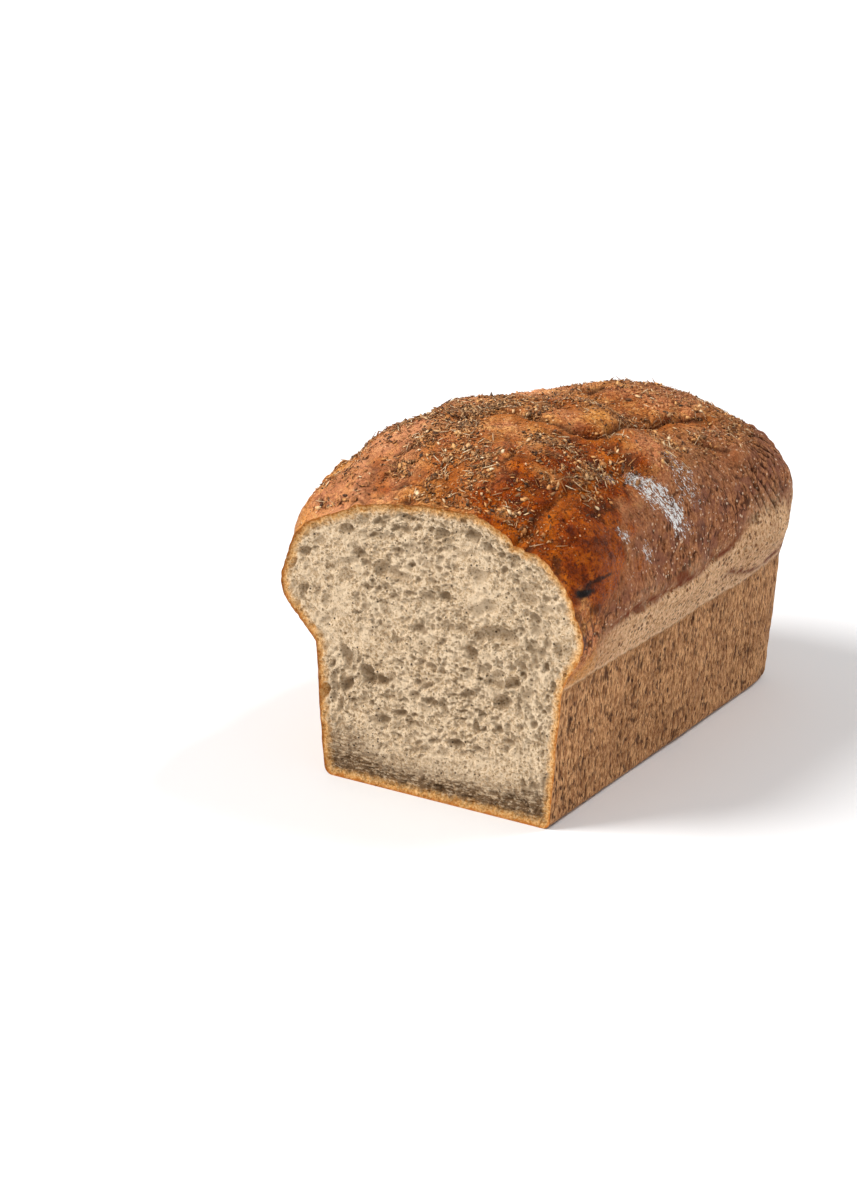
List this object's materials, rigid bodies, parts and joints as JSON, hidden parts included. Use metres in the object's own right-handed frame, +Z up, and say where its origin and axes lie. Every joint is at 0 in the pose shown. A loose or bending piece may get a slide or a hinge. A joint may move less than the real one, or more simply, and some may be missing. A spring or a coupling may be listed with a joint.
{
  "type": "sourdough loaf",
  "caption": "Tin-baked sourdough loaf with a bran-strewn domed crust and a flat cut face showing its open crumb.",
  "frame": {"origin": "middle of the loaf's bounding box at the height of the flat base that it stands on", "axes": "+Z up, -Y out of the cut face, +Y along the loaf to its rounded back end, +X to the right of someone who looks at the cut face"},
  "size_m": [0.1525, 0.2193, 0.1448],
  "materials": {
    "crust": null
  },
  "bodies": {
    "root": {"loaf": "crust"}
  },
  "joints": []
}
